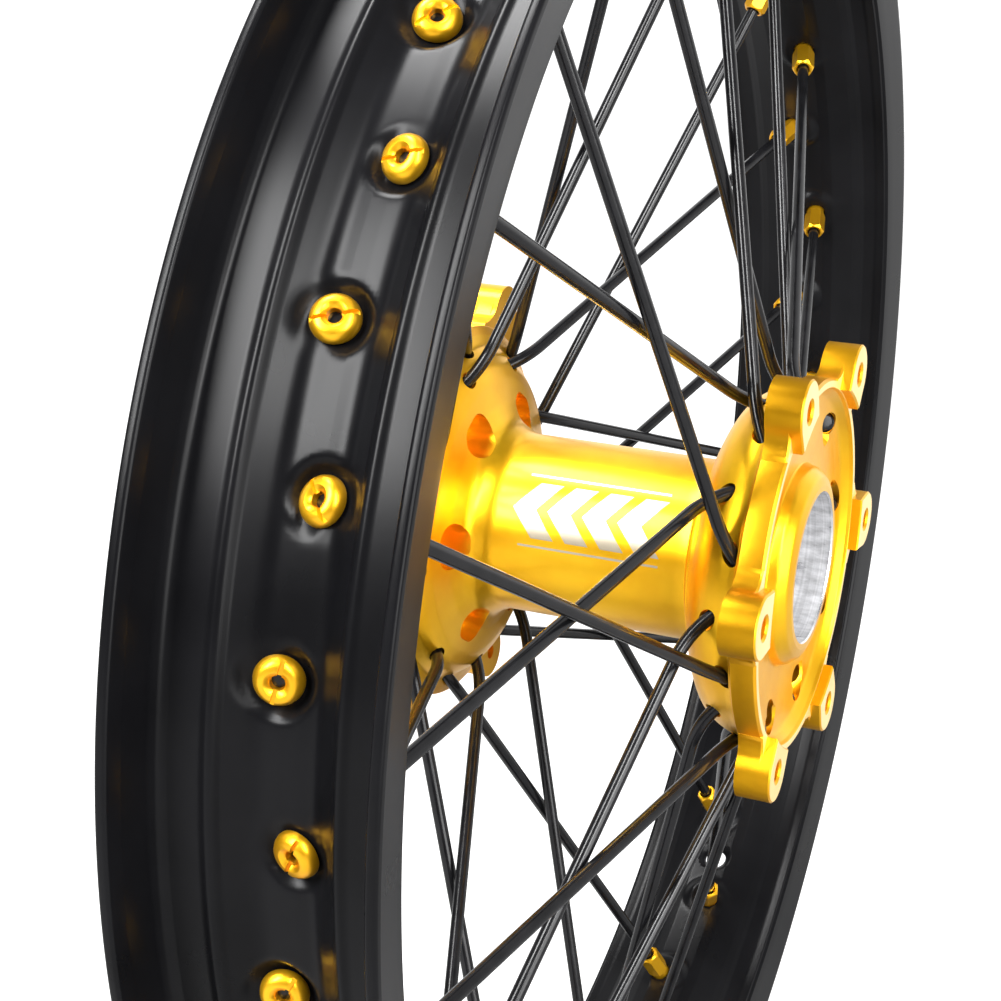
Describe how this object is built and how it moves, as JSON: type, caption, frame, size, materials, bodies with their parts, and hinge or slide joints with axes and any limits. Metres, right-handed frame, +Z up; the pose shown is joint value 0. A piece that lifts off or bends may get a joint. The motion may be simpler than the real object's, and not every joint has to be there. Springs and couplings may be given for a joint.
{
  "type": "spoked wheel",
  "caption": "Wire-spoked motorcycle wheel: drop-centre rim laced to a machined hub with sprocket and brake disc lugs; rim and hub spin freely on ball bearings.",
  "frame": {"origin": "centre of the axle bore on the rim centre plane", "axes": "+Y along the axle towards the brake disc side, -Y towards the sprocket side, +Z up"},
  "size_m": [0.49, 0.1342, 0.49],
  "materials": {
    "rim": "black anodised, satin gloss",
    "hub": "gold anodised, machined",
    "spokes": "gloss black spokes with gold anodised nipples",
    "bearing_races": "ground steel",
    "bearing_balls": "polished balls in a brass coloured cage",
    "bearing_shields": "matt black",
    "circlips": "phosphated steel",
    "dust_seal": "matt black",
    "spacer_tube": "plated steel"
  },
  "bodies": {
    "axle_set": {"bearing_sprocket_side_inner_race": "bearing_races", "bearing_disc_side_inner_race": "bearing_races", "axle_spacer_tube": "spacer_tube"},
    "wheel": {"bearing_disc_side_outer_race": "bearing_races", "bearing_disc_side_shield": "bearing_shields", "bearing_sprocket_side_outer_race": "bearing_races", "bearing_sprocket_side_shield": "bearing_shields", "circlip_disc_side": "circlips", "circlip_sprocket_side": "circlips", "dust_seal_disc_side": "dust_seal", "hub": "hub", "rim": "rim", "spoke_disc_inner_1": "spokes", "spoke_disc_inner_2": "spokes", "spoke_disc_inner_3": "spokes", "spoke_disc_inner_4": "spokes", "spoke_disc_inner_5": "spokes", "spoke_disc_inner_6": "spokes", "spoke_disc_inner_7": "spokes", "spoke_disc_inner_8": "spokes", "spoke_disc_inner_9": "spokes", "spoke_disc_outer_1": "spokes", "spoke_disc_outer_2": "spokes", "spoke_disc_outer_3": "spokes", "spoke_disc_outer_4": "spokes", "spoke_disc_outer_5": "spokes", "spoke_disc_outer_6": "spokes", "spoke_disc_outer_7": "spokes", "spoke_disc_outer_8": "spokes", "spoke_disc_outer_9": "spokes", "spoke_sprocket_inner_1": "spokes", "spoke_sprocket_inner_2": "spokes", "spoke_sprocket_inner_3": "spokes", "spoke_sprocket_inner_4": "spokes", "spoke_sprocket_inner_5": "spokes", "spoke_sprocket_inner_6": "spokes", "spoke_sprocket_inner_7": "spokes", "spoke_sprocket_inner_8": "spokes", "spoke_sprocket_inner_9": "spokes", "spoke_sprocket_outer_1": "spokes", "spoke_sprocket_outer_2": "spokes", "spoke_sprocket_outer_3": "spokes", "spoke_sprocket_outer_4": "spokes", "spoke_sprocket_outer_5": "spokes", "spoke_sprocket_outer_6": "spokes", "spoke_sprocket_outer_7": "spokes", "spoke_sprocket_outer_8": "spokes", "spoke_sprocket_outer_9": "spokes"},
    "ball_set_sprocket_side": {"bearing_sprocket_side_ball_set": "bearing_balls"},
    "ball_set_disc_side": {"bearing_disc_side_ball_set": "bearing_balls"}
  },
  "joints": [
    {"name": "wheel_spin", "type": "hinge", "parent": "axle_set", "child": "wheel", "pos_m": [0, 0, 0], "axis": [0, 1, 0], "continuous": true},
    {"name": "ball_set_spin_sprocket_side", "type": "hinge", "parent": "axle_set", "child": "ball_set_sprocket_side", "pos_m": [0, -0.0334, 0], "axis": [0, 1, 0], "continuous": true},
    {"name": "ball_set_spin_disc_side", "type": "hinge", "parent": "axle_set", "child": "ball_set_disc_side", "pos_m": [0, 0.058, 0], "axis": [0, 1, 0], "continuous": true}
  ],
  "couplings": [
    {"joint": "ball_set_spin_sprocket_side", "follows": "wheel_spin", "ratio": 0.6},
    {"joint": "ball_set_spin_disc_side", "follows": "wheel_spin", "ratio": 0.6}
  ]
}
